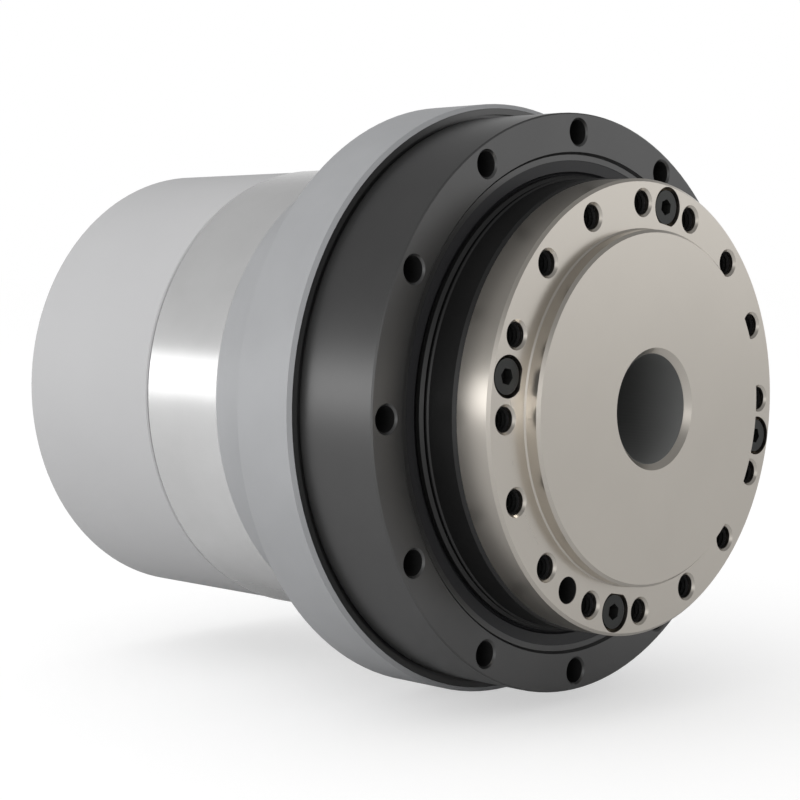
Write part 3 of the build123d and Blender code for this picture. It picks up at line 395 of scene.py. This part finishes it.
def place(mesh, name, slot, body, look=None):
    """Turns a bmesh into a piece that rides on a body, in its slot's finish or another look."""
    bmesh.ops.recalc_face_normals(mesh, faces=mesh.faces)
    data = bpy.data.meshes.new(name)
    mesh.to_mesh(data)
    mesh.free()
    data.materials.append(finish(look or slot))
    piece = bpy.data.objects.new(name, data)
    bpy.context.scene.collection.objects.link(piece)
    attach(piece, body)


def spin_outline(mesh, corners, centre, steps):
    """Spins a closed outline of (station, radius) corners round the line along X at a point."""
    outline = [mesh.verts.new(centre + Vector((x, 0, r))) for x, r in corners]
    edges = [mesh.edges.new(pair) for pair in zip(outline, outline[1:] + outline[:1])]
    bmesh.ops.spin(mesh, geom=outline + edges, cent=centre, axis=(1, 0, 0),
                   angle=2 * math.pi, steps=steps, use_merge=True)


def on_circle(station, radius, angle):
    """A point at a station along X, on a circle round the axis, at an angle from the top."""
    return Vector((station, -radius * math.sin(angle), radius * math.cos(angle)))


def lining(spots, radius, name, slot, body, closed=False):
    """Black sleeves of painted shade in straight holes; each spot is (front, rear, pitch radius,
    angle).
    """
    mesh = bmesh.new()
    outside = radius - LINING_GAP
    inside = outside - LINING_WALL
    for front, rear, pitch, angle in spots:
        if closed:
            corners = [(front, outside), (front, inside), (rear + LINING_GAP + LINING_WALL, inside),
                       (rear + LINING_GAP + LINING_WALL, 0), (rear + LINING_GAP, 0),
                       (rear + LINING_GAP, outside)]
        else:
            corners = [(front, outside), (front, inside), (rear, inside), (rear, outside)]
        spin_outline(mesh, corners, on_circle(0, pitch, angle), LINING_STEPS)
    bmesh.ops.remove_doubles(mesh, verts=mesh.verts, dist=MERGE_GAP)
    # The sleeves are painted shade, black instead of their slot's finish
    place(mesh, name, slot, body, "painted_shade_black")


class ACTUATOR_OT_output_side(Operator):
    """Finish the output flange and its cap screws"""
    bl_idname = "actuator.output_side"
    bl_label = "Output flange"

    def execute(self, context):
        dress("output_flange", "output_screws", "hollow_tube")
        return {"FINISHED"}


class ACTUATOR_OT_bearing(Operator):
    """Finish the crossed roller bearing and its seal"""
    bl_idname = "actuator.bearing"
    bl_label = "Output bearing"

    def execute(self, context):
        dress("bearing_inner_ring", "bearing_outer_ring", "crossed_rollers", "seal_case",
              "output_seal")
        return {"FINISHED"}


class ACTUATOR_OT_gear(Operator):
    """Finish the strain wave gear"""
    bl_idname = "actuator.gear"
    bl_label = "Strain wave gear"

    def execute(self, context):
        dress("circular_spline", "spline_screws", "flexspline", "wave_outer_race",
              "wave_inner_race", "wave_balls", "wave_plug", "plug_screws")
        return {"FINISHED"}


class ACTUATOR_OT_housings(Operator):
    """Finish the gear housing, the stator sleeve and the rear cover"""
    bl_idname = "actuator.housings"
    bl_label = "Housings"

    def execute(self, context):
        dress("gear_housing", "clamp_screws", "shaft_seal", "stator_sleeve", "sleeve_screws",
              "rear_cover", "cover_gasket", "cover_screws")
        return {"FINISHED"}


class ACTUATOR_OT_motor(Operator):
    """Finish the shaft, its bearings, the rotor and the stator"""
    bl_idname = "actuator.motor"
    bl_label = "Motor"

    def execute(self, context):
        dress("motor_shaft", "bearing_inner_races", "bearing_outer_races", "bearing_balls",
              "stator_core", "stator_coils", "rotor_core", "rotor_magnets", "end_shield")
        return {"FINISHED"}


class ACTUATOR_OT_brake(Operator):
    """Finish the holding brake"""
    bl_idname = "actuator.brake"
    bl_label = "Brake"

    def execute(self, context):
        dress("brake_hub", "brake_disc", "brake_linings", "brake_armature", "brake_spacers",
              "brake_magnet", "brake_coil", "brake_spring", "brake_bolts")
        return {"FINISHED"}


class ACTUATOR_OT_encoders(Operator):
    """Finish the two encoders and their board"""
    bl_idname = "actuator.encoders"
    bl_label = "Encoders"

    def execute(self, context):
        dress("motor_encoder_disc", "board_standoffs", "encoder_board", "board_screws",
              "output_encoder_disc", "encoder_readers", "board_parts")
        return {"FINISHED"}


class ACTUATOR_OT_connectors(Operator):
    """Finish the two receptacles on the rear cover"""
    bl_idname = "actuator.connectors"
    bl_label = "Connectors"

    def execute(self, context):
        dress("receptacles", "receptacle_inserts", "receptacle_pins", "receptacle_screws")
        return {"FINISHED"}


class ACTUATOR_OT_flange_threads(Operator):
    """Cut threads in the flange's tapped holes, coloured black as painted shade of the holes"""
    bl_idname = "actuator.flange_threads"
    bl_label = "Flange threads"

    def execute(self, context):
        flange = context.scene.actuator.flange
        root = flange.hole_radius - THREAD_GAP
        crest = flange.hole_radius - flange.thread_height
        mesh = bmesh.new()
        for i in range(flange.tapped_count):
            centre = on_circle(flange.face - flange.thread_start, flange.pitch_radius,
                               2 * math.pi * i / flange.tapped_count)
            tooth = [mesh.verts.new(centre + Vector((-share * flange.thread_pitch, 0, radius)))
                     for share, radius in ((0.0, root), (0.5, crest), (1.0, root))]
            profile = [mesh.edges.new(pair) for pair in zip(tooth, tooth[1:])]
            bmesh.ops.spin(mesh, geom=tooth + profile, cent=centre, axis=(1, 0, 0),
                           dvec=(-flange.thread_pitch / THREAD_STEPS, 0, 0),
                           angle=2 * math.pi * flange.thread_turns,
                           steps=THREAD_STEPS * flange.thread_turns)
        # The threads wear the black of painted shade, not the flange's nickel
        place(mesh, "flange_threads", "nickel_plate", "output", "painted_shade_black")
        return {"FINISHED"}


class ACTUATOR_OT_paint_hole_shade(Operator):
    """Paint the shade of the housing's bolt holes and the flange's dowel hole with black sleeves"""
    bl_idname = "actuator.hole_linings"
    bl_label = "Painted hole shade"

    def execute(self, context):
        holes = context.scene.actuator.holes
        pitch_radius = context.scene.actuator.flange.pitch_radius
        spots = [(holes.bolt_front, holes.bolt_rear, holes.bolt_circle,
                  2 * math.pi * i / holes.bolt_count) for i in range(holes.bolt_count)]
        lining(spots, holes.bolt_radius, "bolt_hole_painted_shade", "bearing_black", "housing")
        spots = [(holes.dowel_front, holes.dowel_floor, pitch_radius,
                  math.radians(holes.dowel_angle))]
        lining(spots, holes.dowel_radius, "dowel_hole_painted_shade", "nickel_plate", "output",
               closed=True)
        return {"FINISHED"}


class ACTUATOR_OT_tube_lining(Operator):
    """Line the hollow bore from the front chamfer to the rear"""
    bl_idname = "actuator.tube_lining"
    bl_label = "Tube lining"

    def execute(self, context):
        flange = context.scene.actuator.flange
        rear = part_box("hollow_tube")[0][0]
        outside = flange.bore_radius - TUBE_LINING_GAP
        inside = outside - TUBE_LINING_WALL
        mesh = bmesh.new()
        corners = [(flange.lining_front, outside), (flange.lining_front, inside),
                   (rear, inside), (rear, outside)]
        spin_outline(mesh, corners, Vector((0, 0, 0)), TUBE_LINING_STEPS)
        place(mesh, "tube_lining", "plain_steel", "output", "tube_grey")
        return {"FINISHED"}


# Stage


def aimed(direction):
    """The turn that points a camera or lamp along a direction."""
    return Vector(direction).to_track_quat("-Z", "Y").to_euler()


def place_camera(scene, lens):
    camera = bpy.data.cameras.new("camera")
    camera.lens = lens
    camera.sensor_width = SENSOR_WIDTH
    camera.clip_start = CLIP_START
    viewer = bpy.data.objects.new("camera", camera)
    viewer.location = CAMERA_SPOT
    viewer.rotation_euler = aimed(CAMERA_FORWARD)
    scene.collection.objects.link(viewer)
    scene.camera = viewer


def place_lamp(scene, power, name, size, spot, aim):
    lamp = bpy.data.lights.new(name, "AREA")
    lamp.energy = power
    lamp.shape = "RECTANGLE"
    lamp.size, lamp.size_y = size
    holder = bpy.data.objects.new(name, lamp)
    holder.location = spot
    holder.rotation_euler = aimed(Vector(aim) - Vector(spot))
    scene.collection.objects.link(holder)


def studio_world(scene, stage):
    """White in view, a soft light on the object, and a studio's walls in metal and glass."""
    world = bpy.data.worlds.new("studio")
    world.use_nodes = True
    scene.world = world
    tree = world.node_tree
    tree.nodes.clear()
    path, shiny = shiny_rays(tree)
    ray = add(tree, "TexCoord")
    sides = add(tree, "VectorMath", {"operation": "DOT_PRODUCT"})
    sides.inputs[1].default_value = CAMERA_RIGHT
    tree.links.new(ray.outputs["Generated"], sides.inputs[0])
    wall = add(tree, "MapRange", {"interpolation_type": "SMOOTHSTEP"}, From_Min=WALL_SPAN[0],
               From_Max=WALL_SPAN[1], To_Min=stage.left_wall, To_Max=1.0)
    tree.links.new(sides.outputs["Value"], wall.inputs["Value"])
    height = add(tree, "SeparateXYZ")
    tree.links.new(ray.outputs["Generated"], height.inputs[0])
    fade = add(tree, "MapRange", {"interpolation_type": "SMOOTHSTEP"}, From_Min=CEILING_SPAN[0],
               From_Max=CEILING_SPAN[1], To_Min=0.0, To_Max=1.0)
    tree.links.new(height.outputs["Z"], fade.inputs["Value"])
    room = add(tree, "Mix", {"data_type": "FLOAT"})
    tree.links.new(fade.outputs["Result"], room.inputs[0])
    tree.links.new(wall.outputs["Result"], room.inputs[2])
    room.inputs[3].default_value = stage.ceiling
    around = add(tree, "Background", Color=WHITE)
    level = add(tree, "MapRange", From_Min=LIGHT_SPAN[0], From_Max=LIGHT_SPAN[1],
                To_Min=stage.left_level, To_Max=stage.right_level)
    tree.links.new(sides.outputs["Value"], level.inputs["Value"])
    tree.links.new(level.outputs["Result"], around.inputs["Strength"])
    walls = add(tree, "Background", Color=WHITE)
    tree.links.new(room.outputs[0], walls.inputs["Strength"])
    white = add(tree, "Background", Color=WHITE, Strength=1.0)
    lit = add(tree, "MixShader")
    tree.links.new(shiny, lit.inputs["Fac"])
    tree.links.new(around.outputs[0], lit.inputs[1])
    tree.links.new(walls.outputs[0], lit.inputs[2])
    choice = add(tree, "MixShader")
    output = add(tree, "OutputWorld")
    tree.links.new(path.outputs["Is Camera Ray"], choice.inputs["Fac"])
    tree.links.new(lit.outputs[0], choice.inputs[1])
    tree.links.new(white.outputs[0], choice.inputs[2])
    tree.links.new(choice.outputs[0], output.inputs["Surface"])


def floor_material(stage):
    """A pale matt floor, lifted to white in view and a little in metal, that keeps shadows."""
    material, tree, shader = blank("floor")
    shader.inputs["Base Color"].default_value = (*[stage.floor_shade] * 3, 1)
    shader.inputs["Roughness"].default_value = FLOOR_ROUGHNESS
    shader.inputs["Specular IOR Level"].default_value = 0.0
    path, shiny = shiny_rays(tree)
    faint = add(tree, "Math", {"operation": "MULTIPLY"})
    faint.inputs[1].default_value = stage.floor_gloss_lift
    tree.links.new(shiny, faint.inputs[0])
    lift = add(tree, "Math", {"operation": "MULTIPLY_ADD"})
    lift.inputs[1].default_value = stage.floor_lift
    tree.links.new(path.outputs["Is Camera Ray"], lift.inputs[0])
    tree.links.new(faint.outputs[0], lift.inputs[2])
    glow = add(tree, "Emission", Color=WHITE)
    tree.links.new(lift.outputs[0], glow.inputs["Strength"])
    both = add(tree, "AddShader")
    tree.links.new(shader.outputs[0], both.inputs[0])
    tree.links.new(glow.outputs[0], both.inputs[1])
    output = next(node for node in tree.nodes if node.type == "OUTPUT_MATERIAL")
    tree.links.new(both.outputs[0], output.inputs["Surface"])
    return material


def lay_floor(scene, stage):
    """Lays the floor just under the object's lowest point."""
    mesh = bmesh.new()
    bmesh.ops.create_grid(mesh, x_segments=1, y_segments=1, size=FLOOR_HALF)
    bmesh.ops.translate(mesh, verts=mesh.verts, vec=(0, 0, cad_box[0][2] - FLOOR_GAP))
    data = bpy.data.meshes.new("floor")
    mesh.to_mesh(data)
    mesh.free()
    data.materials.append(floor_material(stage))
    floor = bpy.data.objects.new("floor", data)
    scene.collection.objects.link(floor)


class ACTUATOR_OT_stage(Operator):
    """Set the camera, the lamps, the floor and the world"""
    bl_idname = "actuator.stage"
    bl_label = "Stage"

    def execute(self, context):
        stage = context.scene.actuator.stage
        place_camera(context.scene, stage.lens)
        place_lamp(context.scene, stage.key_power, *KEY_LAMP)
        place_lamp(context.scene, stage.fill_power, *FILL_LAMP)
        place_lamp(context.scene, stage.strip_power, *STRIP_LAMP)
        studio_world(context.scene, stage)
        lay_floor(context.scene, stage)
        return {"FINISHED"}


class ACTUATOR_PT_panel(Panel):
    """Lists the actuator's settings and operators"""
    bl_idname = "ACTUATOR_PT_panel"
    bl_label = "Actuator"
    bl_space_type = "VIEW_3D"
    bl_region_type = "UI"
    bl_category = "Actuator"

    def draw(self, context):
        settings = context.scene.actuator
        for group in (settings.finish, settings.flange, settings.holes, settings.stage):
            box = self.layout.box()
            for name in group.__annotations__:
                box.prop(group, name)
        for operator in OPERATORS:
            self.layout.operator(operator.bl_idname)


# The operators in the order in which main() calls them
OPERATORS = (
    ACTUATOR_OT_stage, ACTUATOR_OT_output_side, ACTUATOR_OT_bearing, ACTUATOR_OT_gear,
    ACTUATOR_OT_housings, ACTUATOR_OT_motor, ACTUATOR_OT_brake, ACTUATOR_OT_encoders,
    ACTUATOR_OT_connectors, ACTUATOR_OT_flange_threads, ACTUATOR_OT_paint_hole_shade,
    ACTUATOR_OT_tube_lining,
)
GROUPS = (FinishSettings, FlangeSettings, HoleSettings, StageSettings, ActuatorSettings)


def register():
    for item in GROUPS + OPERATORS + (ACTUATOR_PT_panel,):
        bpy.utils.register_class(item)
    bpy.types.Scene.actuator = PointerProperty(type=ActuatorSettings)


def unregister():
    del bpy.types.Scene.actuator
    for item in reversed(GROUPS + OPERATORS + (ACTUATOR_PT_panel,)):
        bpy.utils.unregister_class(item)


def main():
    """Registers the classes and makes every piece."""
    register()
    bpy.context.scene.view_settings.view_transform = "Standard"
    for operator in OPERATORS:
        group, name = operator.bl_idname.split(".")
        getattr(getattr(bpy.ops, group), name)()


if __name__ == "__main__":
    main()
